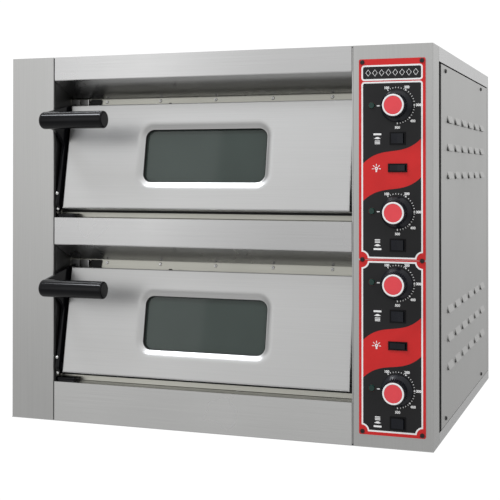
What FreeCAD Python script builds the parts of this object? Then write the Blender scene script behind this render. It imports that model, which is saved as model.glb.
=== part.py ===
"""Double-deck electric countertop pizza oven, one STEP file per sub-part, in millimetres.

Shapes are drawn in oven coordinates: x from the left side, y from the front face towards
the back, z up from the underside of the cabinet, which stands on four rubber feet. The last
step moves them all so that the origin is the bottom centre of the oven's outer box.
"""
import FreeCAD, Part
import math
import os

V = FreeCAD.Vector

# ---- driving dimensions -------------------------------------------------------------
WIDTH = 890.0
DEPTH = 735.0
HEIGHT = 750.0
SHEET = 1.5
FOOT = 4.0
HANDLE_REACH = 67.0
GLAND_REACH = 18.0
LOUVRE_REACH = 4.5
SCREW_HEAD = 2.8

LEFT_POST = 98.0
RIGHT_POST = 738.0
POST_RETURN = 58.0
RAIL_GAP = 2.5

DECK_FLOORS = {"upper": 419.0, "lower": 80.5}
OPENING_HEIGHT = 283.0
SOFFIT_DEPTH = 70.0
SOFFIT_DROP = 34.0

DOOR_X = (117.0, 731.0)
DOOR_LEAN = 10.0
DOOR_FOOT = (2.0, 19.5)
DOOR_HEIGHT = 217.5
DOOR_SKIN_DEPTH = 27.0
DOOR_SHEET = 1.2
DOOR_EDGE = 3.0
DOOR_THICKNESS = 30.0
FACE_W = (32.0, 33.5)
PIVOT = (14.0, 31.0)

WINDOW_X = (276.0, 573.0)
WINDOW_U = (39.0, 181.0)
WINDOW_RADIUS = 35.0
PRESSING = [(0.0, 0.0), (3.0, 0.15), (5.5, 0.55), (8.0, 1.3), (10.5, 2.5), (12.5, 3.7), (14.5, 5.0),
            (16.0, 5.8), (17.0, 6.0)]
GLASS_FRONT = 13.0
GLASS = 4.0

GRIP_CENTRE = (-49.5, 198.0)
GRIP_RADIUS = 17.5
GRIP_X = (112.0, 243.0)
ARM_X = (100.5, 112.0)

CHAMBER_X = (119.0, 729.0)
CHAMBER_BACK = 685.0
CHAMBER_Z = (56.0, 201.0)
BRICK_Z = (72.0, 88.0)

CONTROL_X = 822.0
PLATE_X = (750.0, 876.0)
PLATE_SPLIT = 349.5
PLATE_Z = {"upper": (350.0, 723.5), "lower": (24.0, 349.0)}
KNOB_Z = {"upper_top": 635.0, "upper_bottom": 438.0, "lower_top": 306.0, "lower_bottom": 109.0}
ROCKER_Z = {"upper_top": 575.0, "upper_bottom": 377.5, "lower_top": 246.0, "lower_bottom": 48.5}
LIGHT_Z = {"upper_light": 520.5, "lower_light": 191.5}
LAMP_X = 774.5
SWITCH_X = 824.0
SWITCH_SIZE = {"element": (15.0, 12.0), "light": (18.0, 8.0)}
ROCKER_TILT = 7.0
ROCKER_PIVOT_Y = -1.0
EDGE = 2.2

SIDE_PANEL_Y = (81.0, 706.0)
SIDE_PANEL_Z = (23.0, 719.0)
FOLD_DEPTH = 40.0
LOUVRE_COLUMNS = [150.0 + 87.5 * i for i in range(6)]
LOUVRE_ROWS = [123.0 + 56.0 * i for i in range(3)] + [499.0 + 55.3 * i for i in range(3)]
LOUVRE_SIZE = (55.0, 14.5)

GLAND = (830.0, 62.0)

ORIGIN = V((WIDTH + LOUVRE_REACH - SCREW_HEAD) / 2, (DEPTH - HANDLE_REACH + GLAND_REACH) / 2, -FOOT)

parts = {}


# ---- shape helpers ------------------------------------------------------------------
def box(x, y, z):
    return Part.makeBox(x[1] - x[0], y[1] - y[0], z[1] - z[0], V(x[0], y[0], z[0]))


def rod(start, direction, radius, length):
    return Part.makeCylinder(radius, length, V(*start), V(*direction))


def join(shapes):
    whole = shapes[0]
    for shape in shapes[1:]:
        whole = whole.fuse(shape)
    return whole.removeSplitter()


def extrude_x(points, x):
    """A profile of (y, z) points, pushed along x."""
    corners = [V(x[0], y, z) for y, z in points]
    return Part.Face(Part.makePolygon(corners + corners[:1])).extrude(V(x[1] - x[0], 0, 0))


def rounded_wire(x, z, radius, y):
    """A rounded rectangle in a plane of constant y."""
    middle = radius * (1 - math.sqrt(0.5))
    corners = [
        ((x[0] + radius, z[0]), (x[0] + middle, z[0] + middle), (x[0], z[0] + radius)),
        ((x[0], z[1] - radius), (x[0] + middle, z[1] - middle), (x[0] + radius, z[1])),
        ((x[1] - radius, z[1]), (x[1] - middle, z[1] - middle), (x[1], z[1] - radius)),
        ((x[1], z[0] + radius), (x[1] - middle, z[0] + middle), (x[1] - radius, z[0])),
    ]
    edges = []
    for i, (start, mid, end) in enumerate(corners):
        arc = [V(p[0], y, p[1]) for p in (start, mid, end)]
        following = corners[(i + 1) % 4][0]
        edges.append(Part.Arc(*arc).toShape())
        edges.append(Part.LineSegment(arc[2], V(following[0], y, following[1])).toShape())
    return Part.Wire(edges)


def rounded_slab(x, z, radius, y):
    return Part.Face(rounded_wire(x, z, radius, y[0])).extrude(V(0, y[1] - y[0], 0))


def pressed(x, z, radius):
    """A recess with a softly curved slope: rounded rectangles that shrink as they go deeper."""
    wires = []
    for inset, depth in PRESSING:
        inner_x = (x[0] + inset, x[1] - inset)
        inner_z = (z[0] + inset, z[1] - inset)
        wires.append(rounded_wire(inner_x, inner_z, radius - inset, depth))
    steps = [Part.makeLoft([outer, inner], True, True) for outer, inner in zip(wires, wires[1:])]
    return join(steps)


def soften(shape, radius, places):
    """Rounds the long edges whose middles have the given x, y and z, where None stands for any."""
    chosen = []
    for edge in shape.Edges:
        middle = edge.CenterOfMass
        for place in places:
            gaps = [abs(at - wanted) for at, wanted in zip(middle, place) if wanted is not None]
            if edge.Length > 25 and max(gaps) < 0.01:
                chosen.append(edge)
    return shape.makeFillet(radius, chosen)


def revolve_y(points, x, z):
    """A profile of (radius, y) points, turned about an axis along y."""
    corners = [V(x + r, y, z) for r, y in points]
    face = Part.Face(Part.makePolygon(corners + corners[:1]))
    return face.revolve(V(x, 0, z), V(0, 1, 0), 360)


def leaning(shape, floor):
    """Moves a shape from a door's own frame (w in y, u in z) to its deck."""
    shape = shape.copy()
    shape.rotate(V(0, 0, 0), V(1, 0, 0), -DOOR_LEAN)
    shape.translate(V(0, DOOR_FOOT[0], floor + DOOR_FOOT[1]))
    return shape


def screw(head, inward, head_radius=4.5, shank=8.0, rise=SCREW_HEAD):
    """A pan-head screw: head is the seat of the head, inward points along the shank."""
    back = V(*inward)
    seat = V(*head)
    dome = Part.makeCone(head_radius, head_radius * 0.7, rise, seat, back * -1)
    return dome.fuse(Part.makeCylinder(1.8, shank, seat, back)).removeSplitter()


def add(node, *solids):
    parts[node] = Part.makeCompound(list(solids)) if len(solids) > 1 else solids[0]


# ---- cabinet ------------------------------------------------------------------------
def build_posts():
    """The two front posts: folded channels that carry the rails, doors and controls."""
    z = (SHEET, HEIGHT)
    side_z = (SHEET, HEIGHT - SHEET)
    left = [
        box((0, LEFT_POST), (0, SHEET), z),
        box((0, SHEET), (0, POST_RETURN), side_z),
        box((LEFT_POST - SHEET, LEFT_POST), (0, SOFFIT_DEPTH + 2), side_z),
        box((0, FOLD_DEPTH), (POST_RETURN - SHEET, POST_RETURN), side_z),
        box((FOLD_DEPTH - SHEET, FOLD_DEPTH), (POST_RETURN - SHEET, 100), side_z),
    ]
    right = [
        box((RIGHT_POST, WIDTH), (0, SHEET), z),
        box((WIDTH - SHEET, WIDTH), (0, POST_RETURN), side_z),
        box((RIGHT_POST, RIGHT_POST + SHEET), (0, SOFFIT_DEPTH + 2), side_z),
        box((WIDTH - FOLD_DEPTH, WIDTH), (POST_RETURN - SHEET, POST_RETURN), side_z),
        box((WIDTH - FOLD_DEPTH, WIDTH - FOLD_DEPTH + SHEET), (POST_RETURN - SHEET, 100), side_z),
    ]
    left = soften(join(left), EDGE, [(0, 0, None), (LEFT_POST, 0, None)])
    right = soften(join(right), EDGE, [(WIDTH, 0, None), (RIGHT_POST, 0, None)])
    add("left_post", left)
    add("right_post", right.cut(Part.makeCompound(control_holes())))


def control_holes():
    """Everything that passes through the control plates and the post behind them."""
    y = (-10, 10)
    holes = []
    for z in KNOB_Z.values():
        holes.append(rod((CONTROL_X, y[0], z), (0, 1, 0), 6.0, 20))
        holes.append(rod((LAMP_X, y[0], z + 2), (0, 1, 0), 5.2, 20))
    for _, z, wide, tall in switches():
        holes.append(box((SWITCH_X - wide + 1.4, SWITCH_X + wide - 1.4), y, (z - tall + 1.4, z + tall - 1.4)))
    for x, z in plate_screw_places():
        holes.append(rod((x, y[0], z), (0, 1, 0), 1.8, 20))
    return holes


def switches():
    """Every switch as (name, height of its middle, half width, half height)."""
    return ([(name, z) + SWITCH_SIZE["element"] for name, z in ROCKER_Z.items()]
            + [(name, z) + SWITCH_SIZE["light"] for name, z in LIGHT_Z.items()])


def plate_screw_places():
    """Six screws hold the two plates; the middle pair sits on the seam between them."""
    return [(x, z) for z in (29.5, PLATE_SPLIT, 718.0) for x in (PLATE_X[0] + 6.5, PLATE_X[1] - 6.5)]


def build_rails():
    x = (LEFT_POST + RAIL_GAP, RIGHT_POST - RAIL_GAP)
    floor_depth = 34.0

    def soffit(edge, top):
        low = edge - SOFFIT_DROP
        shape = extrude_x([(0, top), (0, edge), (SOFFIT_DEPTH, low), (SOFFIT_DEPTH, low + SHEET),
                           (SHEET, edge + SHEET), (SHEET, top)], x)
        return soften(shape, EDGE, [(None, 0, edge)])

    upper_edge = DECK_FLOORS["upper"] + OPENING_HEIGHT
    lower_edge = DECK_FLOORS["lower"] + OPENING_HEIGHT
    add("top_rail", soffit(upper_edge, HEIGHT))
    shelf = DECK_FLOORS["upper"]
    add("middle_rail", join([soffit(lower_edge, shelf), box(x, (0, floor_depth), (shelf - SHEET, shelf))]))
    shelf = DECK_FLOORS["lower"]
    add("bottom_rail", join([
        box(x, (0, SHEET), (SHEET, shelf)),
        box(x, (0, floor_depth), (shelf - SHEET, shelf)),
        box(x, (0, 20), (SHEET, 2 * SHEET)),
    ]))


def build_covers():
    """Base tray, top cover, rear panel and the two louvred or plain side panels."""
    flange_y = (POST_RETURN + 1, DEPTH - SHEET)
    inside = (SHEET, WIDTH - SHEET)
    low, high = SIDE_PANEL_Z[0] - 1, SIDE_PANEL_Z[1] + 3
    add("base_pan", join([
        box((0, WIDTH), (0, DEPTH), (0, SHEET)),
        box((0, SHEET), flange_y, (0, low)),
        box((inside[1], WIDTH), flange_y, (0, low)),
        box((0, WIDTH), (DEPTH - SHEET, DEPTH), (0, low)),
    ]))
    add("top_cover", join([
        box((0, WIDTH), (SHEET, DEPTH), (HEIGHT - SHEET, HEIGHT)),
        box((0, SHEET), flange_y, (high, HEIGHT)),
        box((inside[1], WIDTH), flange_y, (high, HEIGHT)),
        box((0, WIDTH), (DEPTH - SHEET, DEPTH), (high, HEIGHT)),
    ]))
    side_y = (SIDE_PANEL_Y[1] + 2, DEPTH)
    rear_z = (low + 0.5, high - 0.5)
    rear = join([
        box((0, WIDTH), (DEPTH - SHEET, DEPTH), rear_z),
        box((0, SHEET), side_y, rear_z),
        box((inside[1], WIDTH), side_y, rear_z),
    ])
    slots = [box((765 + 14 * i, 771 + 14 * i), (DEPTH - 5, DEPTH + 5), (z, z + 70))
             for i in range(7) for z in (180, 520)]
    holes = [rod((x, DEPTH - 5, z), (0, 1, 0), 1.8, 10) for x, z in rear_screw_places()]
    holes.append(rod((GLAND[0], DEPTH - 5, GLAND[1]), (0, 1, 0), 10.0, 10))
    add("rear_panel", rear.cut(Part.makeCompound(slots + holes)))
    add("left_side_panel", side_panel((0, SHEET), (SHEET, FOLD_DEPTH - SHEET)))
    right = side_panel((inside[1], WIDTH), (WIDTH - FOLD_DEPTH + SHEET, inside[1]))
    length, tall = LOUVRE_SIZE
    hoods = []
    vents = []
    for y in LOUVRE_COLUMNS:
        for z in LOUVRE_ROWS:
            hoods.append(louvre(y, z))
            vents.append(box((WIDTH - 5, WIDTH + 5), (y, y + length), (z, z + tall - 1)))
    right = join([right.cut(Part.makeCompound(vents))] + hoods)
    add("right_side_panel", right.cut(Part.makeCompound(side_screw_holes())))
    parts["left_side_panel"] = parts["left_side_panel"].cut(Part.makeCompound(side_screw_holes()))


def side_panel(x, fold):
    """A flat panel with its front edge folded in, which leaves a dark slot behind the post."""
    front = (SIDE_PANEL_Y[0], SIDE_PANEL_Y[0] + SHEET)
    return join([box(x, SIDE_PANEL_Y, SIDE_PANEL_Z), box(fold, front, SIDE_PANEL_Z)])


def louvre(y, z):
    """A tongue of the panel, cut free on three sides and bent outwards at its lower edge."""
    length, tall = LOUVRE_SIZE
    points = [V(WIDTH - SHEET, y, z + tall), V(WIDTH, y, z + tall), V(WIDTH + LOUVRE_REACH, y, z + 2),
              V(WIDTH + LOUVRE_REACH, y, z), V(WIDTH + LOUVRE_REACH - SHEET, y, z)]
    return Part.Face(Part.makePolygon(points + points[:1])).extrude(V(0, length, 0))


def side_screw_places():
    """Screws of one side panel, close to its top and bottom edges."""
    return [(y, z) for z in (35.0, 709.0) for y in (127.0, 603.0)]


def side_screw_holes():
    holes = []
    for y, z in side_screw_places():
        holes.append(rod((-5, y, z), (1, 0, 0), 1.8, 20))
        holes.append(rod((WIDTH - 15, y, z), (1, 0, 0), 1.8, 20))
    return holes


def rear_screw_places():
    return [(x, z) for z in (35.0, 709.0) for x in (60.0, 320.0, 580.0, 848.0)]


def build_case_screws():
    """Dark screws: six on the control plates, and those of the side and rear panels."""
    screws = [screw((x, -SHEET, z), (0, 1, 0)) for x, z in plate_screw_places()]
    for y, z in side_screw_places():
        screws.append(screw((0, y, z), (1, 0, 0)))
        screws.append(screw((WIDTH, y, z), (-1, 0, 0)))
    screws += [screw((x, DEPTH, z), (0, -1, 0)) for x, z in rear_screw_places()]
    add("case_screws", *screws)


def build_feet():
    feet = [rod((x, y, -FOOT), (0, 0, 1), 20.0, FOOT) for x in (50, WIDTH - 50) for y in (50, DEPTH - 50)]
    add("rubber_feet", *feet)


# ---- decks --------------------------------------------------------------------------
def chamber_box(floor, grow, y):
    z = (floor + CHAMBER_Z[0] - grow, floor + CHAMBER_Z[1] + grow)
    return box((CHAMBER_X[0] - grow, CHAMBER_X[1] + grow), y, z)


def strip_screw_places():
    """Five screws along the top of each chamber face, as (x, u)."""
    return [(183.0 + 123.5 * i, 231.0) for i in range(5)]


def build_deck(name, floor):
    """The baking chamber of one deck, and the leaning face that its door closes against."""
    height = (-13.5, 240.0)
    face = leaning(box((LEFT_POST, RIGHT_POST), FACE_W, height), floor)
    face = face.cut(chamber_box(floor, 0, (0, 200)))
    holes = [leaning(rod((x, FACE_W[0] - 5, u), (0, 1, 0), 1.8, 20), floor)
             for x, u in strip_screw_places()]
    add(name + "_chamber_face", face.cut(Part.makeCompound(holes)))

    front = leaning(box((0, WIDTH), (-300, FACE_W[1]), (-300, 500)), floor)
    shell = chamber_box(floor, SHEET, (20, CHAMBER_BACK + SHEET))
    shell = shell.cut(chamber_box(floor, 0, (0, CHAMBER_BACK)))
    ledge_z = (floor + CHAMBER_Z[0], floor + BRICK_Z[0])
    middle = sum(CHAMBER_X) / 2
    ledges = [
        box((CHAMBER_X[0], CHAMBER_X[0] + 8), (80, CHAMBER_BACK), ledge_z),
        box((CHAMBER_X[1] - 8, CHAMBER_X[1]), (80, CHAMBER_BACK), ledge_z),
        box((middle - 4, middle + 4), (80, CHAMBER_BACK), ledge_z),
    ]
    add(name + "_chamber", join([shell.cut(front)] + ledges))


def build_chamber_fittings():
    """Firebricks, heating elements and lamps, the same in both decks."""
    middle = sum(CHAMBER_X) / 2
    bricks, bottoms, tops, lamps = [], [], [], []
    for floor in DECK_FLOORS.values():
        z = (floor + BRICK_Z[0], floor + BRICK_Z[1])
        for x in ((CHAMBER_X[0] + 1, middle - 0.5), (middle + 0.5, CHAMBER_X[1] - 1)):
            bricks.append(box(x, (80, CHAMBER_BACK - 3), z))
            span = (x[0] + 32, x[1] - 32)
            bottoms.append(element(span, floor + CHAMBER_Z[0] + 8))
            tops.append(element(span, floor + CHAMBER_Z[1] - 9))
        lamps.append(rod((CHAMBER_X[1], 600, floor + 145), (-1, 0, 0), 24.0, 4.0))
    add("firebricks", *bricks)
    add("bottom_elements", *bottoms)
    add("top_elements", *tops)
    add("chamber_lamps", *lamps)


def element(span, z):
    """A sheathed heating element: four straight legs joined by three round bends."""
    legs = 4
    pitch = (span[1] - span[0]) / (legs - 1)
    bend = pitch / 2
    near, far = 110 + bend, CHAMBER_BACK - 30 - bend
    edges = []
    for i in range(legs):
        x = span[0] + pitch * i
        ends = (CHAMBER_BACK, near) if i == 0 else (far, near)
        if i == legs - 1:
            ends = (CHAMBER_BACK, near)
        start, stop = ends if i % 2 == 0 else ends[::-1]
        edges.append(Part.LineSegment(V(x, start, z), V(x, stop, z)).toShape())
        if i < legs - 1:
            side = -1 if i % 2 == 0 else 1
            edges.append(Part.Arc(V(x, stop, z), V(x + bend, stop + side * bend, z),
                                  V(x + pitch, stop, z)).toShape())
    path = Part.Wire(edges)
    ring = Part.Wire(Part.makeCircle(4.0, V(span[0], CHAMBER_BACK, z), V(0, 1, 0)))
    return path.makePipeShell([ring], True, False)


def build_hinges():
    """Brackets on the post walls, their bright screws, and the fixed pins the doors turn on."""
    brackets, pins, bright = [], [], []
    for floor in DECK_FLOORS.values():
        pivot = (PIVOT[0], floor + PIVOT[1])
        y, z = (PIVOT[0] - 10, PIVOT[0] + 14), (pivot[1] - 30, pivot[1] + 30)
        plates = [((LEFT_POST, LEFT_POST + SHEET), 1), ((RIGHT_POST - SHEET, RIGHT_POST), -1)]
        for plate, side in plates:
            bracket = box(plate, y, z)
            face = plate[1] if side > 0 else plate[0]
            wall = plate[0] if side > 0 else plate[1]
            pins.append(rod((face, pivot[0], pivot[1]), (side, 0, 0), 5.0, 24.0 if side > 0 else 12.0))
            if side > 0:
                for lift in (-20, 19):
                    seat = (face, pivot[0], pivot[1] + lift)
                    bright.append(low_screw(seat, (-side, 0, 0)))
                    hole = rod((wall - side * 5, pivot[0], seat[2]), (side, 0, 0), 1.8, 10)
                    bracket = bracket.cut(hole)
                    parts["left_post"] = parts["left_post"].cut(hole)
            brackets.append(bracket)
        for x, u in strip_screw_places():
            bright.append(leaning(screw((x, FACE_W[0], u), (0, 1, 0), 3.6, 4.0, 1.5), floor))
    add("hinge_brackets", *brackets)
    add("hinge_pins", *pins)
    add("bright_screws", *bright)


def low_screw(seat, inward):
    """A flat countersunk-style head that leaves room for the arm to sweep past."""
    head = Part.makeCylinder(4.0, 0.6, V(*seat), V(*inward) * -1)
    return head.fuse(Part.makeCylinder(1.8, 2 * SHEET + 3, V(*seat), V(*inward))).removeSplitter()


# ---- doors --------------------------------------------------------------------------
def build_door(name, floor):
    """A pressed outer skin, an inner liner, two panes, and the moulded handle on its left end."""
    u = (0.0, DOOR_HEIGHT)
    skin = box(DOOR_X, (0, DOOR_SKIN_DEPTH), u)
    skin = soften(skin, DOOR_EDGE, [(DOOR_X[0], 0, None), (DOOR_X[1], 0, None),
                                    (None, 0, 0), (None, 0, u[1])])
    inside_x = (DOOR_X[0] + DOOR_SHEET, DOOR_X[1] - DOOR_SHEET)
    inside_u = (u[0] + DOOR_SHEET, u[1] - DOOR_SHEET)
    front = DOOR_SHEET
    hollow = soften(box(inside_x, (front, DOOR_SKIN_DEPTH + 1), inside_u), DOOR_EDGE - DOOR_SHEET,
                    [(inside_x[0], front, None), (inside_x[1], front, None),
                     (None, front, inside_u[0]), (None, front, inside_u[1])])
    wall_x = (WINDOW_X[0] - DOOR_SHEET, WINDOW_X[1] + DOOR_SHEET)
    wall_u = (WINDOW_U[0] - DOOR_SHEET, WINDOW_U[1] + DOOR_SHEET)
    bezel = pressed(wall_x, wall_u, WINDOW_RADIUS + DOOR_SHEET)
    opening = pressed(WINDOW_X, WINDOW_U, WINDOW_RADIUS)
    inset, depth = PRESSING[-1]
    clear_x = (WINDOW_X[0] + inset, WINDOW_X[1] - inset)
    clear_u = (WINDOW_U[0] + inset, WINDOW_U[1] - inset)
    clear_radius = WINDOW_RADIUS - inset

    def window(grow, y):
        x = (clear_x[0] - grow, clear_x[1] + grow)
        z = (clear_u[0] - grow, clear_u[1] + grow)
        return rounded_slab(x, z, clear_radius + grow, y)

    skin = join([skin.cut(hollow), bezel, window(DOOR_SHEET, (depth, GLASS_FRONT))])
    skin = skin.cut(join([opening, window(0, (depth, GLASS_FRONT))]))
    pane_back = GLASS_FRONT + GLASS
    panes = [window(8, (GLASS_FRONT, pane_back)), window(3, (22.0, 22.0 + GLASS))]
    tunnel = window(4.5, (pane_back, DOOR_SKIN_DEPTH)).cut(window(3, (0, DOOR_THICKNESS)))
    raised_x = (CHAMBER_X[0] + 4, CHAMBER_X[1] - 4)
    liner = join([
        box(inside_x, (DOOR_SKIN_DEPTH - DOOR_SHEET, DOOR_SKIN_DEPTH), inside_u),
        box(raised_x, (DOOR_SKIN_DEPTH, DOOR_THICKNESS), (12, u[1] - 12)),
    ])
    liner = join([liner.cut(window(3, (0, DOOR_THICKNESS + 1))), tunnel])

    bore = rod((ARM_X[0] - 5, PIVOT[0], floor + PIVOT[1]), (1, 0, 0), 5.1, 30.0)
    far_bore = rod((DOOR_X[1] - 10, PIVOT[0], floor + PIVOT[1]), (1, 0, 0), 5.1, 20.0)
    add(name + "_door_skin", leaning(skin, floor).cut(bore).cut(far_bore))
    add(name + "_door_liner", leaning(liner, floor))
    add(name + "_door_glass", *[leaning(pane, floor) for pane in panes])
    build_handle(name, floor, bore)


def build_handle(name, floor, bore):
    """A flat arm from the hinge pin to the grip, which stands in front of the door."""
    pivot = V(0, PIVOT[0], floor + PIVOT[1])
    grip = V(0, GRIP_CENTRE[0], floor + GRIP_CENTRE[1])
    lean = math.tan(math.radians(DOOR_LEAN))
    hub = 16.0
    top = floor + 238.0

    def edge(z, ahead):
        return V(0, PIVOT[0] + ahead + lean * (z - pivot.z), z)

    back_top = edge(top, 18.0)
    front_mid = edge(floor + 150.0, -14.0)
    grip_low = grip + V(0, 4.0, -GRIP_RADIUS + 0.5)
    grip_front = grip + V(0, -GRIP_RADIUS, 0)
    grip_top = grip + V(0, 2.0, math.sqrt(GRIP_RADIUS ** 2 - 4.0))
    hub_back = edge(pivot.z, hub)
    hub_front = edge(pivot.z, -hub)
    sweep = grip + V(0, 44.0, -GRIP_RADIUS - 6.0)
    lines = [
        Part.LineSegment(grip_top, back_top),
        Part.LineSegment(back_top, hub_back),
        Part.Arc(hub_back, pivot + V(0, 0, -hub), hub_front),
        Part.LineSegment(hub_front, front_mid),
        Part.Arc(front_mid, sweep, grip_low),
        Part.Arc(grip_low, grip_front, grip_top),
    ]
    outline = Part.Wire([line.toShape() for line in lines])
    arm = Part.Face(outline).extrude(V(ARM_X[1] - ARM_X[0], 0, 0))
    arm.translate(V(ARM_X[0], 0, 0))
    arm = arm.makeFillet(8.0, [edge for edge in arm.Edges if edge.BoundBox.XMax < ARM_X[0] + 0.01])
    spacer = rod((ARM_X[1], PIVOT[0], pivot.z), (1, 0, 0), 9.0, DOOR_X[0] - ARM_X[1])
    high = edge(floor + 215.0, 4.0)
    upper_spacer = rod((ARM_X[1], high.y, high.z), (1, 0, 0), 7.0, DOOR_X[0] - ARM_X[1])
    add(name + "_handle_arm", join([arm, spacer, upper_spacer]).cut(bore))

    end = V(GRIP_X[1], grip.y, grip.z)
    start = V(GRIP_X[0], grip.y, grip.z)
    body = Part.makeCylinder(GRIP_RADIUS, GRIP_X[1] - GRIP_X[0], start, V(1, 0, 0))
    add(name + "_handle_grip", soften(body, 3.5, [tuple(end)]))


# ---- controls -----------------------------------------------------------------------
def build_plates():
    holes = Part.makeCompound(control_holes())
    for name, z in PLATE_Z.items():
        plate = rounded_slab(PLATE_X, z, 3.0, (-SHEET, 0))
        add("control_plate_" + name, plate.cut(holes))


def build_knobs():
    """Thermostats behind the plates, each with its own spindle, knob and coloured cap."""
    stats = []
    for name, z in KNOB_Z.items():
        stat = join([
            rod((CONTROL_X, -SHEET, z), (0, 1, 0), 6.0, 2 * SHEET + 6),
            rod((CONTROL_X, SHEET + 2, z), (0, 1, 0), 21.0, 30.0),
        ])
        stats.append(stat.cut(rod((CONTROL_X, -10, z), (0, 1, 0), 3.05, 36.0)))
        add(name + "_spindle", rod((CONTROL_X, -22, z), (0, 1, 0), 3.0, 46.0))
        profile = [(3.0, -2.2), (29.0, -2.2), (30.0, -3.0), (30.0, -4.6), (24.0, -8.5), (22.8, -10.0),
                   (21.8, -31.0), (20.8, -32.6), (17.0, -32.6), (17.0, -31.4), (0, -31.4), (0, -22.0),
                   (3.0, -22.0)]
        add(name + "_knob", revolve_y(profile, CONTROL_X, z))
        add(name + "_knob_cap", rod((CONTROL_X, -31.4, z), (0, -1, 0), 16.8, 1.8))
    add("thermostats", *stats)


def build_switches():
    """Rocker switches: a housing in the plate, and a rocker that tilts about an upright axis."""
    housings = []

    def block(wide, tall, y, z):
        return box((SWITCH_X - wide, SWITCH_X + wide), y, (z - tall, z + tall))

    for name, z, wide, tall in switches():
        outer = join([
            block(wide, tall, (-SHEET - 2, -SHEET), z),
            block(wide - 1.4, tall - 1.4, (-SHEET, 22), z),
        ])
        housings.append(outer.cut(block(wide - 2.4, tall - 2.4, (-10, 16), z)))
        add(name + "_rocker", rocker(z, wide - 3.3, tall - 2.7))
    add("switch_housings", *housings)


def rocker(z, wide, tall):
    """A shallow V across its front, pressed in at one end when it is at rest."""
    outline = [(-wide, -5.4), (0, -3.6), (wide, -5.4), (wide - 0.5, 0), (8, 6), (-8, 6), (0.5 - wide, 0)]
    points = [V(SWITCH_X + x, y, z - tall) for x, y in outline]
    shape = Part.Face(Part.makePolygon(points + points[:1])).extrude(V(0, 0, 2 * tall))
    shape.rotate(V(SWITCH_X, ROCKER_PIVOT_Y, z), V(0, 0, 1), -ROCKER_TILT)
    return shape


def build_pilot_lamps():
    lamps = []
    for z in KNOB_Z.values():
        dome = Part.makeCone(6.5, 5.2, 3.0, V(LAMP_X, -SHEET, z + 2), V(0, -1, 0))
        lamps.append(rod((LAMP_X, -SHEET, z + 2), (0, 1, 0), 5.1, 16.0).fuse(dome).removeSplitter())
    add("pilot_lamps", *lamps)


# ---- hidden parts -------------------------------------------------------------------
def build_interior():
    """Insulation round the chambers, the wall of the wiring bay, and the mains connection."""
    x = (104.0, 732.0)
    y = (80.0, 720.0)
    upper, lower = DECK_FLOORS["upper"], DECK_FLOORS["lower"]
    below, above = CHAMBER_Z[0] - 2 * SHEET, CHAMBER_Z[1] + 2 * SHEET
    add("insulation",
        box(x, y, (upper + above, HEIGHT - 2 * SHEET)),
        box(x, y, (lower + above, upper + below)),
        box(x, y, (2 * SHEET, lower + below)))
    add("wiring_bay_wall", box((RIGHT_POST, RIGHT_POST + SHEET), (SOFFIT_DEPTH + 3, DEPTH - SHEET - 1),
                               (SHEET, HEIGHT - SHEET)))
    block = box((790, 850), (DEPTH - 120, DEPTH - 98), (SHEET, 40))
    ways = [rod((797.5 + 9 * i, DEPTH - 109, 20), (0, 0, 1), 2.5, 30) for i in range(6)]
    add("terminal_block", block.cut(Part.makeCompound(ways)))
    gx, gz = GLAND
    gland = join([
        rod((gx, DEPTH - 12, gz), (0, 1, 0), 10.0, 12 + 6),
        rod((gx, DEPTH, gz), (0, 1, 0), 14.0, 7.0),
        Part.makeCone(12.5, 9.5, GLAND_REACH - 7, V(gx, DEPTH + 7, gz), V(0, 1, 0)),
        rod((gx, DEPTH - SHEET - 5, gz), (0, 1, 0), 14.0, 5.0),
    ])
    add("cable_gland", gland.cut(rod((gx, DEPTH - 20, gz), (0, 1, 0), 5.5, 60)))


build_posts()
build_rails()
build_covers()
build_case_screws()
build_feet()
for deck, deck_floor in DECK_FLOORS.items():
    build_deck(deck, deck_floor)
    build_door(deck, deck_floor)
build_chamber_fittings()
build_hinges()
build_plates()
build_knobs()
build_switches()
build_pilot_lamps()
build_interior()

os.makedirs("parts", exist_ok=True)
for node, shape in parts.items():
    placed = shape.copy()
    placed.translate(-ORIGIN)
    placed.exportStep("parts/" + node + ".step")
    box_now = placed.BoundBox
    print(f"{node:28s} solids {len(placed.Solids):2d} volume {placed.Volume / 1000:9.2f} cm3 "
          f"x {box_now.XMin:.1f}..{box_now.XMax:.1f} y {box_now.YMin:.1f}..{box_now.YMax:.1f} "
          f"z {box_now.ZMin:.1f}..{box_now.ZMax:.1f}{'' if placed.isValid() else ' INVALID'}")
print(len(parts), "nodes")
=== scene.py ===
"""Looks of a double-deck countertop pizza oven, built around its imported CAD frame.

Places are written in oven millimetres, as in the CAD model: x from the left side, y from the
front face towards the back, z up from the underside of the cabinet. at() turns them into
metres in the frame.
"""
import bpy
import bmesh
import math
from mathutils import Euler, Matrix, Vector


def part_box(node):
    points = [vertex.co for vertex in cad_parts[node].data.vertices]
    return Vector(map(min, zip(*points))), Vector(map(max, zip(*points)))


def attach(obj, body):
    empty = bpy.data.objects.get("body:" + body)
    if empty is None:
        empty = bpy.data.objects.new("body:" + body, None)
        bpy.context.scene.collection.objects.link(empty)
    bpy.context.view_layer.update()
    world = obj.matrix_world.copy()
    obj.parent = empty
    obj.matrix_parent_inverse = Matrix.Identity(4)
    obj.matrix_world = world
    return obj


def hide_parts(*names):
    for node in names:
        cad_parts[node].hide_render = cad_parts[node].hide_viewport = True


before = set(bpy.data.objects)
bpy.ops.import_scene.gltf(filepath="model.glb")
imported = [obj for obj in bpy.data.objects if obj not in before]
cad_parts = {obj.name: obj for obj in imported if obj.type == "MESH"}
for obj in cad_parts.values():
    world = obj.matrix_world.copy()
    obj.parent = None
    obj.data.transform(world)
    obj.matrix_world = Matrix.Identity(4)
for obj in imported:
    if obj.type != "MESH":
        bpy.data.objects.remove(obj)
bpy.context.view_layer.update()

MM = 0.001
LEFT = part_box("left_post")[0][0]
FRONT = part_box("right_post")[0][1]
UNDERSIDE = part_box("base_pan")[0][2]
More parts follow.
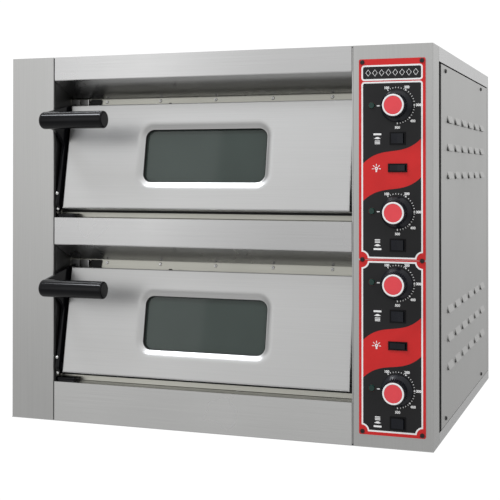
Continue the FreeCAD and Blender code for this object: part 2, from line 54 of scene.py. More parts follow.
CABINET = "cabinet"
DECKS = ("upper", "lower")


def at(x, y, z):
    return Vector((LEFT + x * MM, FRONT + y * MM, UNDERSIDE + z * MM))


def spot(node):
    """The middle of a CAD node's box, as (x, y, z) in oven millimetres."""
    low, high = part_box(node)
    return tuple((a + b) / 2 / MM - shift / MM for a, b, shift in zip(low, high, (LEFT, FRONT, UNDERSIDE)))


# ---- camera and light ---------------------------------------------------------------
def make_camera():
    data = bpy.data.cameras.new("camera")
    data.lens = 76.0
    data.sensor_width = 36.0
    data.shift_x = -0.0704
    data.shift_y = -0.172
    camera = bpy.data.objects.new("camera", data)
    camera.location = at(1249.7, -1917.7, 512.3)
    camera.rotation_euler = Euler([math.radians(a) for a in (90.45, 0.0, 18.61)])
    bpy.context.collection.objects.link(camera)
    bpy.context.scene.camera = camera


def area_light(name, place, aim, size, power, colour=(1, 1, 1), mirrored=True):
    data = bpy.data.lights.new(name, "AREA")
    data.shape = "RECTANGLE"
    data.size, data.size_y = size
    data.energy = power
    data.color = colour
    lamp = bpy.data.objects.new(name, data)
    lamp.location = place
    lamp.rotation_euler = (Vector(aim) - Vector(place)).to_track_quat("-Z", "Y").to_euler()
    lamp.visible_glossy = mirrored
    bpy.context.collection.objects.link(lamp)


def make_studio():
    """A plain white backdrop. Reflections see a surround that is dim at the horizon and pale above."""
    bpy.context.scene.view_settings.view_transform = "Standard"
    world = bpy.data.worlds.new("studio")
    bpy.context.scene.world = world
    world.use_nodes = True
    nodes, links = world.node_tree.nodes, world.node_tree.links
    nodes.clear()
    coords = nodes.new("ShaderNodeTexCoord")
    split = nodes.new("ShaderNodeSeparateXYZ")
    ramp = nodes.new("ShaderNodeValToRGB")
    height = nodes.new("ShaderNodeMapRange")
    height.inputs["From Min"].default_value = -1.0
    links.new(coords.outputs["Generated"], split.inputs[0])
    links.new(split.outputs["Z"], height.inputs["Value"])
    links.new(height.outputs[0], ramp.inputs[0])
    stops = ramp.color_ramp.elements
    stops[0].position, stops[0].color = 0.0, (0.70, 0.70, 0.70, 1)
    stops[1].position, stops[1].color = 1.0, (0.95, 0.95, 0.95, 1)
    for position, tone in ((0.14, 0.60), (0.30, 0.40), (0.40, 0.47), (0.56, 0.72), (0.82, 0.78), (0.92, 1.0)):
        stops.new(position).color = (tone, tone, tone, 1)
    surround = nodes.new("ShaderNodeBackground")
    links.new(ramp.outputs[0], surround.inputs["Color"])
    surround.inputs["Strength"].default_value = 1.0
    white = nodes.new("ShaderNodeBackground")
    white.inputs["Color"].default_value = (1, 1, 1, 1)
    white.inputs["Strength"].default_value = 1.05
    path = nodes.new("ShaderNodeLightPath")
    mix = nodes.new("ShaderNodeMixShader")
    links.new(path.outputs["Is Camera Ray"], mix.inputs[0])
    links.new(surround.outputs[0], mix.inputs[1])
    links.new(white.outputs[0], mix.inputs[2])
    out = nodes.new("ShaderNodeOutputWorld")
    links.new(mix.outputs[0], out.inputs[0])

    area_light("column", (-1.6, -3.1, 0.9), (-0.2, -0.34, 0.5), (0.7, 1.8), 1.7)
    area_light("overhead", (0.2, -0.6, 3.2), (0, -0.1, 0.3), (2.6, 2.2), 7)
    area_light("strip", (-1.3, -1.4, 2.8), (-0.27, -0.4, 0.6), (1.1, 0.5), 38, (0.92, 0.95, 1.0))
    area_light("fill", (2.4, -3.0, 1.6), (0.2, -0.3, 0.4), (3.4, 3.0), 26, mirrored=False)
    area_light("right_side", (3.2, 0.8, 1.9), (0.4, 0.1, 0.5), (2.8, 2.6), 8, mirrored=False)


# ---- materials ----------------------------------------------------------------------
class Paint:
    """A principled material with short helpers for its procedural detail."""

    def __init__(self, name, colour, roughness, metallic=0.0):
        self.material = bpy.data.materials.new(name)
        self.material.use_nodes = True
        self.nodes = self.material.node_tree.nodes
        self.links = self.material.node_tree.links
        self.shader = self.nodes["Principled BSDF"]
        self.colour = colour
        self.roughness = roughness
        self.shader.inputs["Base Color"].default_value = (*colour, 1)
        self.shader.inputs["Roughness"].default_value = roughness
        self.shader.inputs["Metallic"].default_value = metallic

    def set(self, **sockets):
        """Sets shader sockets by name, with _ for each space."""
        for name, value in sockets.items():
            self.shader.inputs[name.replace("_", " ")].default_value = value

    def noise(self, scale, detail, stretch=(1, 1, 1)):
        coords = self.nodes.new("ShaderNodeTexCoord")
        mapping = self.nodes.new("ShaderNodeMapping")
        mapping.inputs["Scale"].default_value = stretch
        texture = self.nodes.new("ShaderNodeTexNoise")
        texture.inputs["Scale"].default_value = scale
        texture.inputs["Detail"].default_value = detail
        self.links.new(coords.outputs["Object"], mapping.inputs["Vector"])
        self.links.new(mapping.outputs[0], texture.inputs["Vector"])
        return texture.outputs["Fac"]

    def vary_colour(self, field, spread):
        """Lets the colour run from darker to lighter by the given share."""
        ramp = self.nodes.new("ShaderNodeValToRGB")
        low, high = ramp.color_ramp.elements
        low.position, high.position = 0.3, 0.7
        low.color = (*[c * (1 - spread) for c in self.colour], 1)
        high.color = (*[min(1, c * (1 + spread)) for c in self.colour], 1)
        self.links.new(field, ramp.inputs[0])
        self.links.new(ramp.outputs[0], self.shader.inputs["Base Color"])

    def vary_roughness(self, field, spread):
        limits = self.nodes.new("ShaderNodeMapRange")
        limits.inputs["From Min"].default_value = 0.3
        limits.inputs["From Max"].default_value = 0.7
        limits.inputs["To Min"].default_value = self.roughness - spread
        limits.inputs["To Max"].default_value = self.roughness + spread
        self.links.new(field, limits.inputs["Value"])
        self.links.new(limits.outputs[0], self.shader.inputs["Roughness"])

    def bump(self, field, height, strength):
        """Raises the surface by height metres where the field is full."""
        node = self.nodes.new("ShaderNodeBump")
        node.inputs["Distance"].default_value = height
        node.inputs["Strength"].default_value = strength
        self.links.new(field, node.inputs["Height"])
        self.links.new(node.outputs[0], self.shader.inputs["Normal"])


def satin_steel(name, tone, roughness, grain):
    """Stainless sheet: fine polishing lines along one axis and faint smears."""
    stretch = [900.0, 900.0, 900.0]
    stretch["xyz".index(grain)] = 6.0
    paint = Paint(name, tone, roughness, metallic=1.0)
    lines = paint.noise(1.0, 2.0, stretch)
    smears = paint.noise(5.0, 4.0)
    paint.vary_colour(lines, 0.025)
    paint.vary_roughness(smears, 0.03)
    paint.bump(lines, 0.00003, 0.12)
    return paint.material


def moulded(name, colour, roughness, grain_height=0.00003, spread=0.25, shine=0.35):
    """Moulded plastic: faint orange-peel and small differences in gloss."""
    paint = Paint(name, colour, roughness)
    fine = paint.noise(900.0, 2.0)
    broad = paint.noise(30.0, 3.0)
    paint.vary_colour(broad, spread)
    paint.vary_roughness(broad, 0.04)
    paint.set(Specular_IOR_Level=shine)
    paint.bump(fine, grain_height, 0.4)
    return paint.material


def make_materials():
    return {
        "post": satin_steel("steel_post", (0.61, 0.61, 0.60), 0.34, "z"),
        "rail": satin_steel("steel_rail", (0.70, 0.70, 0.70), 0.26, "x"),
        # A lighter copy of the rail steel for the bottom rail: painted light, standing in for light its own
        # reflection lacks.
        "rail_painted_light": satin_steel("steel_rail_painted_light", (0.80, 0.80, 0.79), 0.26, "x"),
        "door": satin_steel("steel_door", (0.62, 0.62, 0.615), 0.38, "x"),
        "side": satin_steel("steel_side", (0.58, 0.58, 0.57), 0.38, "z"),
        "chamber": satin_steel("steel_chamber", (0.55, 0.545, 0.49), 0.36, "x"),
        # Dark steel as painted shade, for the catch plates and the plates by the hinges, which lie in shade.
        "shade": satin_steel("steel_shaded", (0.17, 0.17, 0.17), 0.40, "z"),
        "bright": satin_steel("steel_bright", (0.75, 0.75, 0.74), 0.22, "x"),
        "black": moulded("black_moulding", (0.004, 0.004, 0.005), 0.09, shine=0.18),
        "knob": moulded("knob_moulding", (0.007, 0.008, 0.012), 0.25, shine=0.3),
        "red_cap": moulded("red_cap", (0.74, 0.065, 0.08), 0.32, spread=0.05),
        "white": moulded("white_print", (0.86, 0.86, 0.86), 0.40, spread=0.02),
        "red": moulded("red_print", (0.60, 0.018, 0.018), 0.36, spread=0.05),
        # Black print; the same black also paints the shade in the cross recesses of the screws.
        "field": moulded("black_print_and_recess_shade", (0.010, 0.010, 0.011), 0.36, spread=0.1),
        "dark": moulded("dark_fastener", (0.02, 0.02, 0.02), 0.35),
        # Black rubber; the same black also paints the shade in gaps and slots, as black seals and strips.
        "rubber": moulded("black_rubber_and_painted_shade", (0.02, 0.02, 0.02), 0.75, 0.0001),
        "grey": moulded("grey_moulding", (0.20, 0.20, 0.21), 0.45),
        "green": moulded("green_lens", (0.008, 0.035, 0.028), 0.14, shine=0.5),
        "brick": moulded("firebrick", (0.55, 0.48, 0.38), 0.9, 0.0004, 0.18),
        "element": moulded("element_sheath", (0.06, 0.055, 0.05), 0.55, 0.0001),
        "wool": moulded("mineral_wool", (0.45, 0.38, 0.2), 0.95, 0.001, 0.3),
        "glass": oven_glass(),
    }


def oven_glass():
    paint = Paint("oven_glass", (0.10, 0.135, 0.12), 0.05)
    haze = paint.noise(12.0, 4.0)
    paint.vary_colour(haze, 0.08)
    paint.vary_roughness(haze, 0.02)
    paint.set(Transmission_Weight=0.6, IOR=1.45)
    return paint.material


def dress_cad(paints):
    """Gives every CAD node the finish of the real piece."""
    finishes = {
        "post": ("left_post", "right_post"),
        "rail": ("top_rail", "middle_rail", "top_cover", "base_pan"),
        "rail_painted_light": ("bottom_rail",),
        "side": ("rear_panel", "left_side_panel", "right_side_panel", "wiring_bay_wall"),
        "dark": ("case_screws",),
        "bright": ("bright_screws",),
        "rubber": ("rubber_feet",),
        "grey": ("terminal_block", "cable_gland", "thermostats"),
        "green": ("pilot_lamps",),
        "brick": ("firebricks",),
        "wool": ("insulation",),
        "red": ("control_plate_upper", "control_plate_lower"),
        "black": ("switch_housings", "hinge_brackets", "hinge_pins"),
        "glass": ("chamber_lamps",),
        "element": ("top_elements", "bottom_elements"),
    }
    by_node = {node: finish for finish, nodes in finishes.items() for node in nodes}
    by_ending = {
        "_door_skin": "door", "_door_liner": "chamber", "_door_glass": "glass", "_handle_arm": "black",
        "_handle_grip": "black", "_knob": "knob", "_knob_cap": "red_cap", "_spindle": "bright",
        "_rocker": "knob", "_chamber": "chamber", "_chamber_face": "chamber",
    }
    for node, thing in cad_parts.items():
        finish = by_node.get(node)
        for ending, value in by_ending.items():
            if finish is None and node.endswith(ending):
                finish = value
        thing.data.materials.clear()
        thing.data.materials.append(paints[finish])


# ---- flat printed shapes ------------------------------------------------------------
PLATE_FACE = -1.5
PRINT = 0.12            # thickness of the ink
LAMP_X = spot("pilot_lamps")[0]


def arc(x, z, radius, start, end, steps=12):
    """Points of an arc in the plate's plane; angles in degrees, clockwise from the top."""
    turn = [math.radians(start + (end - start) * i / steps) for i in range(steps + 1)]
    return [(x + radius * math.sin(a), z + radius * math.cos(a)) for a in turn]


def circle(x, z, radius, steps=32):
    return arc(x, z, radius, 0, 360, steps)[:-1]


def rectangle(x, z, wide, tall):
    return [(x - wide / 2, z - tall / 2), (x + wide / 2, z - tall / 2),
            (x + wide / 2, z + tall / 2), (x - wide / 2, z + tall / 2)]


def rounded(x0, x1, z0, z1, radius, inset=0.0, steps=12):
    """A frame with round corners, drawn inset from its edge."""
    outline = []
    for x, z, start in ((x1, z1, 0), (x1, z0, 90), (x0, z0, 180), (x0, z1, 270)):
        side_x = -1 if x == x1 else 1
        side_z = -1 if z == z1 else 1
        outline += arc(x + side_x * radius, z + side_z * radius, radius - inset, start, start + 90, steps)
    return outline


def printed(name, outlines, paint, lift=0.0):
    """A thin flat shape on the plates. Outlines inside another one are holes in it."""
    curve = bpy.data.curves.new(name, "CURVE")
    curve.dimensions = "2D"
    curve.fill_mode = "BOTH"
    curve.extrude = PRINT / 2 * MM
    for outline in outlines:
        spline = curve.splines.new("POLY")
        spline.points.add(len(outline) - 1)
        for point, (x, z) in zip(spline.points, outline):
            point.co = (x * MM, z * MM, 0, 1)
        spline.use_cyclic_u = True
    settle(name, curve, paint, PLATE_FACE - lift - PRINT / 2)


def settle(name, curve, paint, y):
    """Turns a flat curve or text into a mesh that stands upright at depth y."""
    draft = bpy.data.objects.new(name + "_draft", curve)
    bpy.context.collection.objects.link(draft)
    bpy.context.view_layer.update()
    mesh = bpy.data.meshes.new_from_object(draft.evaluated_get(bpy.context.evaluated_depsgraph_get()))
    bpy.data.objects.remove(draft)
    mesh.transform(Matrix.Translation(at(0, y, 0)) @ Matrix.Rotation(math.radians(90), 4, "X"))
    return place(name, mesh, paint, CABINET, "control_plate")


def place(name, mesh, paint, body, slot):
    """Puts a finished mesh in the scene, riding on a body."""
    mesh.name = name
    mesh.materials.clear()
    mesh.materials.append(paint)
    piece = bpy.data.objects.new(name, mesh)
    bpy.context.collection.objects.link(piece)
    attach(piece, body)
    return piece


# ---- control plates -----------------------------------------------------------------
MARGIN = 5.0
LINE = 3.0
CORNER = 5.5
NOTCH = 12.0
NAME_BOX = (683.0, 712.0)
SPINDLE_HOLE, LAMP_HOLE, SWITCH_HOLE = 6.2, 6.6, (27.4, 21.4)
# Edges of the red band: height over the middle of the lamp switch, and how far each end bends.
BAND_TOP, BAND_BOTTOM = (31.0, 23.0), (-39.5, 22.5)
FIELDS = {
    "upper": {"z": (352.0, 681.0), "notched": ("bottom_left", "bottom_right"), "light": "upper_light_rocker"},
    "lower": {"z": (30.0, 347.0), "light": "lower_light_rocker",
              "notched": ("bottom_left", "bottom_right", "top_left", "top_right")},
}


def panel_outline(x, z, inset, notched, part="all"):
    """The outline of a printed frame, inset from its outer edge; part is all, top or bottom."""
    outline = []
    corners = [("top_right", 1, 1, 0), ("bottom_right", 1, 0, 90),
               ("bottom_left", 0, 0, 180), ("top_left", 0, 1, 270)]
    for name, right, top, start in corners:
        if part != "all" and not name.startswith(part):
            continue
        corner_x, corner_z = x[right], z[top]
        if name in notched:
            radius = NOTCH + inset
            skip = math.degrees(math.asin(inset / radius))
            outline += arc(corner_x, corner_z, radius, start + 270 - skip, start + 180 + skip, 12)
        else:
            radius = CORNER - inset * 0.8
            mid_x = corner_x - (inset + radius) * (1 if right else -1)
            mid_z = corner_z - (inset + radius) * (1 if top else -1)
            outline += arc(mid_x, mid_z, radius, start, start + 90, 8)
    return outline


def wave(x, middle, rise, steps=40):
    """The edge of the red band: steep at both ends and nearly level in the middle."""
    points = []
    for i in range(steps + 1):
        t = -1 + 2 * i / steps
        points.append((x[0] + (x[1] - x[0]) * i / steps, middle + rise * (0.72 * t ** 3 + 0.28 * t)))
    return points


def cut_outs(z):
    """Holes in the print for knobs, lamps and switches whose centres are within z."""
    holes = []
    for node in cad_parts:
        if not node.endswith(("_knob", "_rocker")):
            continue
        x, _, middle = spot(node)
        if z[0] < middle < z[1]:
            if node.endswith("_knob"):
                holes.append(circle(x, middle, SPINDLE_HOLE))
                holes.append(circle(LAMP_X, middle + 2, LAMP_HOLE))
            else:
                holes.append(rectangle(x, middle, *SWITCH_HOLE))
    return holes


def print_plates(paints):
    """Frames, dark fields, dials and signs on the two red plates."""
    low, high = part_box("control_plate_upper")
    x = tuple((edge - LEFT) / MM + side for edge, side in ((low[0], MARGIN), (high[0], -MARGIN)))
    inner = (x[0] + LINE, x[1] - LINE)
    printed("name_box_line", [panel_outline(x, NAME_BOX, 0, ()), panel_outline(x, NAME_BOX, LINE, ())],
            paints["white"])
    printed("name_box_field", [panel_outline(x, NAME_BOX, LINE, ())], paints["field"])
    print_ornament(x, paints)
    for deck, facts in FIELDS.items():
        z, notched = facts["z"], facts["notched"]
        middle = spot(facts["light"])[2]
        printed(deck + "_panel_line", [panel_outline(x, z, 0, notched), panel_outline(x, z, LINE, notched)],
                paints["white"])
        upper_edge = wave(inner, middle + BAND_TOP[0], BAND_TOP[1])
        lower_edge = wave(inner, middle + BAND_BOTTOM[0], BAND_BOTTOM[1])
        top = panel_outline(x, z, LINE, notched, "top")
        bottom = panel_outline(x, z, LINE, notched, "bottom")
        top_right, top_left = top[:len(top) // 2], top[len(top) // 2:]
        above = [upper_edge[::-1] + top_left + top_right] + cut_outs((middle + 20, z[1]))
        printed(deck + "_field_above", above, paints["field"])
        printed(deck + "_field_below", [lower_edge + bottom] + cut_outs((z[0], middle - 20)), paints["field"])
        print_lamp_sign(deck, spot(facts["light"]), paints)
        for end, order in (("top", 1), ("bottom", -1)):
            name = deck + "_" + end
            print_dial(name, spot(name + "_knob"), paints)
            print_element_sign(name, spot(name + "_rocker"), order, paints)


def print_ornament(x, paints):
    """A plain row of outlined lozenges in the box at the top of the plate."""
    count, wide, tall, line = 8, 5.0, 6.4, 0.95
    z = sum(NAME_BOX) / 2
    outlines = []
    for i in range(count):
        middle = x[0] + (x[1] - x[0]) * (i + 1) / (count + 1)
        for shrink in (0, line):
            outlines.append([(middle - wide + shrink, z), (middle, z - tall + shrink),
                             (middle + wide - shrink, z), (middle, z + tall - shrink)])
    printed("lozenge_row", outlines, paints["white"], lift=PRINT)


DIAL_RADIUS = 33.6
DIAL_START, DIAL_END = -30.0, 180.0
# Each numbered mark: its number, its angle, and how far out the number stands.
DIAL_MARKS = ((100, -30, 38.0), (200, 30, 38.6), (300, 90, 41.0), (400, 134, 42.3), (500, 178, 41.0))


def radial_mark(x, z, angle, near, far, wide):
    """A short bar that points away from (x, z)."""
    a = math.radians(angle)
    along, across = (math.sin(a), math.cos(a)), (math.cos(a), -math.sin(a))
    return [(x + along[0] * r + across[0] * s, z + along[1] * r + across[1] * s)
            for r, s in ((near, -wide / 2), (near, wide / 2), (far, wide / 2), (far, -wide / 2))]


def print_dial(name, centre, paints):
    """Numbers, a ring of ticks round the knob, and the long dash of the off position."""
    x, z = centre[0], centre[2] + 1
    ticks = []
    step = 9
    for i in range(int((DIAL_END - DIAL_START) / step) + 1):
        ticks.append(radial_mark(x, z, DIAL_START + step * i, DIAL_RADIUS - 1.4, DIAL_RADIUS + 0.9, 1.0))
    printed(name + "_dial_ticks", ticks, paints["white"], lift=PRINT * 1.2)
    marks = [radial_mark(x, z, angle, DIAL_RADIUS - 2.0, DIAL_RADIUS + 1.2, 1.5)
             for _, angle, _ in DIAL_MARKS]
    marks.append(radial_mark(x, z, -90, DIAL_RADIUS - 1.5, DIAL_RADIUS + 4.0, 2.0))
    printed(name + "_dial_marks", marks, paints["white"], lift=PRINT * 1.4)
    for number, angle, radius in DIAL_MARKS:
        a = math.radians(angle)
        place_number(f"{name}_dial_{number}", number, x + radius * math.sin(a), z + radius * math.cos(a),
                     paints["white"])


def place_number(name, number, x, z, paint):
    text = bpy.data.curves.new(name, "FONT")
    text.body = str(number)
    text.align_x = "CENTER"
    text.align_y = "CENTER"
    text.size = 6.4 * MM
    text.offset = 0.30 * MM
    text.extrude = PRINT / 2 * MM
    piece = settle(name, text, paint, PLATE_FACE - PRINT * 1.5)
    piece.data.transform(Matrix.Translation((x * MM, 0, z * MM)))


def print_element_sign(name, centre, order, paints):
    """Generic sign of a heating element: a bar, a lens and three short lines."""
    x, z = centre[0] - 38, centre[2]
    shapes = [rounded(x - 7.5, x + 7.5, z + order * 8 - 1.7, z + order * 8 + 1.7, 0.8, steps=8)]
    middle = z + order * 0.8
    rim = [(x + 6.8, middle - 0.8), (x, middle - 2.0), (x - 6.8, middle - 0.8)]
    shapes.append(rim[2:] + arc(x, middle - 3.2, 5.4, -50, 50) + rim[:2])
    shapes += [rectangle(x, z - order * 7 + lift, 10, 1.5) for lift in (-2.6, 0, 2.6)]
    printed(name + "_element_sign", shapes, paints["white"], lift=PRINT)


def print_lamp_sign(deck, centre, paints):
    """Generic sign of a lamp: a bulb with rays."""
    x, z = centre[0] - 40, centre[2] - 1
    shapes = [circle(x, z, 3.1, 24), circle(x, z, 1.2, 16)]
    shapes += [radial_mark(x, z, angle, 4.6, 8.6, 1.3) for angle in range(-96, 97, 48)]
    shapes.append(rectangle(x, z - 5.0, 3.0, 3.4))
    printed(deck + "_lamp_sign", shapes, paints["white"], lift=PRINT * 0.5)


# ---- turned and small parts ---------------------------------------------------------
def lathe(name, profile, centre, paint, body, slot, turns=96, flutes=0):
    """Turns a closed profile of (radius, y, flute depth) about an axis along y."""
    bm = bmesh.new()
    rings = []
    for i in range(turns):
        angle = 2 * math.pi * i / turns
        section = []
        for radius, y, flute in profile:
            r = radius - flute * (0.5 - 0.5 * math.cos(flutes * angle))
            x, z = centre[0] + r * math.sin(angle), centre[2] + r * math.cos(angle)
            section.append(bm.verts.new(at(x, y, z)))
        rings.append(section)
    count = len(profile)
    for i in range(turns):
        here, there = rings[i], rings[(i + 1) % turns]
        for j in range(count):
            k = (j + 1) % count
            bm.faces.new((here[j], here[k], there[k], there[j]))
    bmesh.ops.remove_doubles(bm, verts=bm.verts, dist=0.00001)
    bmesh.ops.recalc_face_normals(bm, faces=bm.faces)
    mesh = bpy.data.meshes.new(name)
    bm.to_mesh(mesh)
    bm.free()
    for face in mesh.polygons:
        face.use_smooth = True
    piece = place(name, mesh, paint, body, slot)
    mesh.set_sharp_from_angle(angle=math.radians(35))
    return piece


def make_knobs(paints):
    """Fluted knobs with a wide skirt, a white ring and a shallow red cap."""
    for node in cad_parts:
        if not node.endswith("_knob"):
            continue
        centre = spot(node)
        profile = [(3.1, -2.3, 0), (29.2, -2.3, 0), (29.9, -2.9, 0), (30.0, -4.0, 0), (29.6, -4.8, 0),
                   (25.0, -8.0, 0), (23.4, -9.6, 0), (22.8, -10.8, 0.9), (22.3, -20.0, 0.9),
                   (21.9, -30.0, 0.9), (21.2, -31.6, 0.4), (20.2, -32.4, 0), (17.0, -32.4, 0),
                   (17.0, -31.5, 0), (3.1, -31.5, 0)]
        knob = lathe(node + "_shape", profile, centre, paints["knob"], node, "black_plastic", 216, 36)
        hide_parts(node)
        band = [(16.9, -32.4, 0), (17.1, -33.3, 0), (17.6, -33.6, 0), (19.0, -33.6, 0), (19.8, -33.3, 0),
                (20.2, -32.6, 0), (20.2, -32.0, 0), (17.0, -32.0, 0)]
        lathe(node + "_ring", band, centre, paints["white"], node, "black_plastic")


LEAN = math.radians(10.0)
FOOT = (2.0, 19.5)                      # y and height over the shelf of the door's lower front edge
WINDOW = (276.0, 573.0, 39.0, 181.0)    # x from and to, height along the door from and to
WINDOW_RADIUS = 35.0
PIVOT = (14.0, 31.0)                    # y and height over the shelf of the hinge pins
ARM_RADIUS = 16.0                       # round lower end of a handle arm
ARM_X = 106.0
OPENING = (3, 68)                       # y from the front to the back of a deck's recess
PANEL_SEAL_Y = (78.5, 80.8)
VENTS = {"x": (765, 855), "height": 70, "lower": 180, "upper": 520}


def deck_floor(deck):
    """Height of the shelf at the bottom of a deck's opening."""
    rail = {"upper": "middle_rail", "lower": "bottom_rail"}[deck]
    return (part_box(rail)[1][2] - UNDERSIDE) / MM


def on_door(x, w, u, floor):
    """A point of a closed door: w is the depth behind its face, u the height along it."""
    y = FOOT[0] + w * math.cos(LEAN) + u * math.sin(LEAN)
    return at(x, y, floor + FOOT[1] + u * math.cos(LEAN) - w * math.sin(LEAN))


def ring(radius, steps=24):
    """Points of a circle about the origin, as pairs (sine side, cosine side)."""
    turn = [2 * math.pi * i / steps for i in range(steps)]
    return [(radius * math.sin(a), radius * math.cos(a)) for a in turn]


def skinned(name, loops, paint, body, slot, closed=True, angle=35):
    """A smooth skin over loops of points that all have the same count."""
    bm = bmesh.new()
    rings = [[bm.verts.new(point) for point in loop] for loop in loops]
    pairs = list(zip(rings, rings[1:] + rings[:1])) if closed else list(zip(rings, rings[1:]))
    for near, far in pairs:
        for i in range(len(near)):
            j = (i + 1) % len(near)
            bm.faces.new((near[i], near[j], far[j], far[i]))
    if not closed:
        bm.faces.new(rings[0][::-1])
        bm.faces.new(rings[-1])
    bmesh.ops.recalc_face_normals(bm, faces=bm.faces)
    mesh = bpy.data.meshes.new(name)
    bm.to_mesh(mesh)
    bm.free()
    for face in mesh.polygons:
        face.use_smooth = True
    mesh.set_sharp_from_angle(angle=math.radians(angle))
    place(name, mesh, paint, body, slot)


def window_loop(inset, w, floor):
    """The edge of the window, inset towards its middle, at depth w behind the door's face."""
    outline = rounded(*WINDOW, WINDOW_RADIUS, inset)
    return [on_door(x, w, u, floor) for x, u in outline]


def make_window_seals(paints):
    """A black gasket that lines the short tunnel between the pressed frame and the glass."""
    for deck in DECKS:
        floor = deck_floor(deck)
        section = ((16.85, 5.7), (17.9, 6.4), (18.1, 12.9), (16.9, 12.9))
        loops = [window_loop(inset, w, floor) for inset, w in section]
        skinned(deck + "_window_seal", loops, paints["rubber"], deck + "_door", "rubber")


def block(name, x, y, z, paint, edge, slot="black_plastic"):
    """A small block with rounded edges."""
    bm = bmesh.new()
    bmesh.ops.create_cube(bm, size=1)
    low, high = at(x[0], y[0], z[0]), at(x[1], y[1], z[1])
    for vert in bm.verts:
        for axis in range(3):
            vert.co[axis] = high[axis] if vert.co[axis] > 0 else low[axis]
    bmesh.ops.bevel(bm, geom=bm.edges[:], offset=edge * MM, segments=3, affect="EDGES", profile=0.5)
    mesh = bpy.data.meshes.new(name)
    bm.to_mesh(mesh)
    bm.free()
    for face in mesh.polygons:
        face.use_smooth = True
    mesh.set_sharp_from_angle(angle=math.radians(50))
    place(name, mesh, paint, CABINET, slot)


def make_catches(paints):
    """Left of each strip of screws, a folded catch plate and the dark gap beside it. The tab and plate are
    dark steel as painted shade, and the gap is a black sheet of painted shade.
    """
    # The tab and plate are painted dark for the shade they lie in; the gap piece is painted shade.
    pieces = {"tab": ((101, 121), (67.0, 68.5), "shade"), "plate": ((122.5, 144), (68.0, 69.5), "shade"),
              "flange": ((143.5, 145), (62.0, 69.5), "rail"), "gap": ((146, 171), (70.5, 71.5), "rubber")}
    for deck in DECKS:
        z = (deck_floor(deck) + 229, deck_floor(deck) + 247)
        for part, (x, y, paint) in pieces.items():
            block(f"{deck}_catch_{part}", x, y, z, paints[paint], 0.4, slot="bright_steel")


def make_gaskets(paints):
    """Seals under each door, before the side panels and beside the rails, and dark plates of painted shade on
    the post walls by the hinges. The black seals are partly real seals and partly painted shade for the dark
    gaps they fill.
    """
    for deck in DECKS:
        floor = deck_floor(deck)
        # Black gasket under the door: a real seal and also painted shade for the dark gap below the door.
        loops = [[on_door(x, w, u, floor) for w, u in ((31.6, -4), (31.6, 4), (31.9, 4), (31.9, -4))]
                 for x in (101.0, 735.0)]
        skinned(deck + "_door_gasket_painted_shade", loops, paints["rubber"], CABINET, "rubber", closed=False)
        block(deck + "_hinge_shoe", (101, 143), (8, 29), (floor + 0.3, floor + 8), paints["black"], 1.0)
        # Dark plate on the post's inner wall by the hinges: painted shade, for a wall that lies in shade.
        block(deck + "_painted_shade_plate", (98.05, 99.3), OPENING, (floor + 62, floor + 281), paints["shade"], 0.3)
        for side, z in (("upper", floor + 50), ("lower", floor + 18)):
            make_arm_screw(f"{deck}_arm_screw_{side}", floor, z, deck, paints)
    low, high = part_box("right_side_panel")
    z = ((low[2] - UNDERSIDE) / MM + 1, (high[2] - UNDERSIDE) / MM - 1)
    # Black seals in the slots before the side panels: real seals and also painted shade for the dark slots.
    block("right_edge_seal_painted_shade", (882, 889.4), PANEL_SEAL_Y, z, paints["rubber"], 0.6, slot="rubber")
    block("left_edge_seal_painted_shade", (0.6, 8), PANEL_SEAL_Y, z, paints["rubber"], 0.6, slot="rubber")
    # Black strip beside the left rail: a seal and also painted shade for the dark seam.
    block("left_rail_seal_painted_shade", (98.2, 100.3), (3, 6), (3, 747), paints["rubber"], 0.3, slot="rubber")
    block("right_rail_seal", (735.7, 737.8), (2, 5), (3, 747), paints["post"], 0.3, slot="rubber")


def make_arm_screw(name, floor, z, deck, paints):
    """A bright dome-headed screw in the front edge of a handle arm: round below its pivot, leaning above."""
    up = z - floor - PIVOT[1]
    if up < 0:
        face = PIVOT[0] - math.sqrt(ARM_RADIUS ** 2 - up ** 2)
    else:
        face = PIVOT[0] - ARM_RADIUS + 0.176 * up
    loops = []
    for radius, rise in ((3.4, -0.5), (3.4, 0.4), (2.9, 1.2), (1.6, 1.9), (0.5, 2.1)):
        loops.append([at(ARM_X + across, face - rise, z + along) for across, along in ring(radius)])
    skinned(name, loops, paints["bright"], deck + "_door", "bright_steel", closed=False, angle=60)


def make_stops(paints):
    """Two low rubber buffers on the top edge of each door."""
    for deck in DECKS:
        floor = deck_floor(deck)
        for side, x in (("left", 161.0), ("right", 341.0)):
            loops = []
            for radius, u in ((4.2, 216.8), (4.2, 218.4), (3.4, 219.6), (1.6, 220.2)):
                loops.append([on_door(x + along, 9 + across, u, floor) for across, along in ring(radius)])
            skinned(f"{deck}_stop_{side}", loops, paints["rubber"], deck + "_door", "rubber", closed=False)


def make_vent_screens(paints):
    """Dark mesh behind the vent slots of the rear panel."""
    x = (VENTS["x"][0] - 7, VENTS["x"][1] + 7)
    for deck in ("lower", "upper"):
        z = (VENTS[deck] - 6, VENTS[deck] + VENTS["height"] + 6)
        block(deck + "_vent_screen", x, (731, 732), z, paints["rubber"], 0.3)


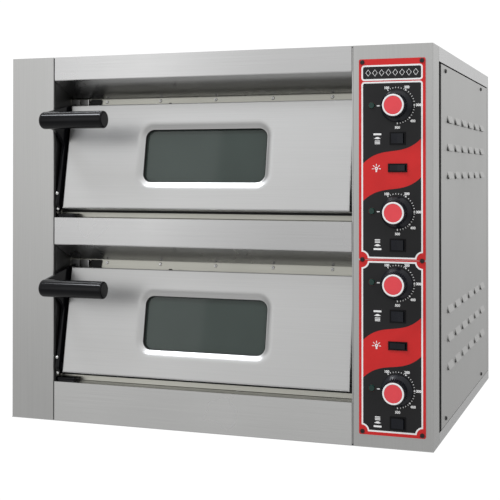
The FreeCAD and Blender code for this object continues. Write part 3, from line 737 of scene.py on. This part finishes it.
def islands(node):
    """The loose pieces of a CAD node, each as a list of points in metres."""
    bm = bmesh.new()
    bm.from_mesh(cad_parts[node].data)
    bmesh.ops.remove_doubles(bm, verts=bm.verts, dist=0.000001)
    seen = set()
    found = []
    for start in bm.verts:
        if start in seen:
            continue
        stack, points = [start], []
        seen.add(start)
        while stack:
            vert = stack.pop()
            points.append(vert.co.copy())
            for edge in vert.link_edges:
                other = edge.other_vert(vert)
                if other not in seen:
                    seen.add(other)
                    stack.append(other)
        found.append(points)
    bm.free()
    return found


def cross_recesses(paints):
    """A dark cross on every screw head: painted shade for the shade inside its cross recess."""
    for node in ("case_screws", "bright_screws"):
        bm = bmesh.new()
        for points in islands(node):
            middle = sum(points, Vector()) / len(points)
            if node == "bright_screws":
                side_on = middle.x < LEFT + 110 * MM
                out = Vector((1, 0, 0)) if side_on else Vector((0, -math.cos(LEAN), math.sin(LEAN)))
            elif middle.y < FRONT + 12 * MM:
                out = Vector((0, -1, 0))
            elif middle.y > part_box("rear_panel")[1][1] - 12 * MM:
                out = Vector((0, 1, 0))
            else:
                out = Vector((1 if middle.x > 0 else -1, 0, 0))
            top = max(point.dot(out) for point in points)
            crown = [p for p in points if p.dot(out) > top - 0.00001]
            centre = sum(crown, Vector()) / len(crown)
            up = Vector((0, 0, 1)) if abs(out.z) < 0.5 else Vector((0, 1, 0))
            across = out.cross(up).normalized()
            for a, b in ((across, out.cross(across)), (out.cross(across), across)):
                slab = Matrix((a, b, out)).transposed().to_4x4()
                slab.translation = centre + out * 0.00004
                size = Matrix.Diagonal((0.0036, 0.0008, 0.00012, 1))
                bmesh.ops.create_cube(bm, size=1, matrix=slab @ size)
        mesh = bpy.data.meshes.new(node + "_recess")
        bm.to_mesh(mesh)
        bm.free()
        place(node + "_recess", mesh, paints["field"], CABINET, "dark_screws")


make_camera()
make_studio()
paints = make_materials()
dress_cad(paints)
print_plates(paints)
make_knobs(paints)
make_window_seals(paints)
make_catches(paints)
make_stops(paints)
make_vent_screens(paints)
make_gaskets(paints)
cross_recesses(paints)
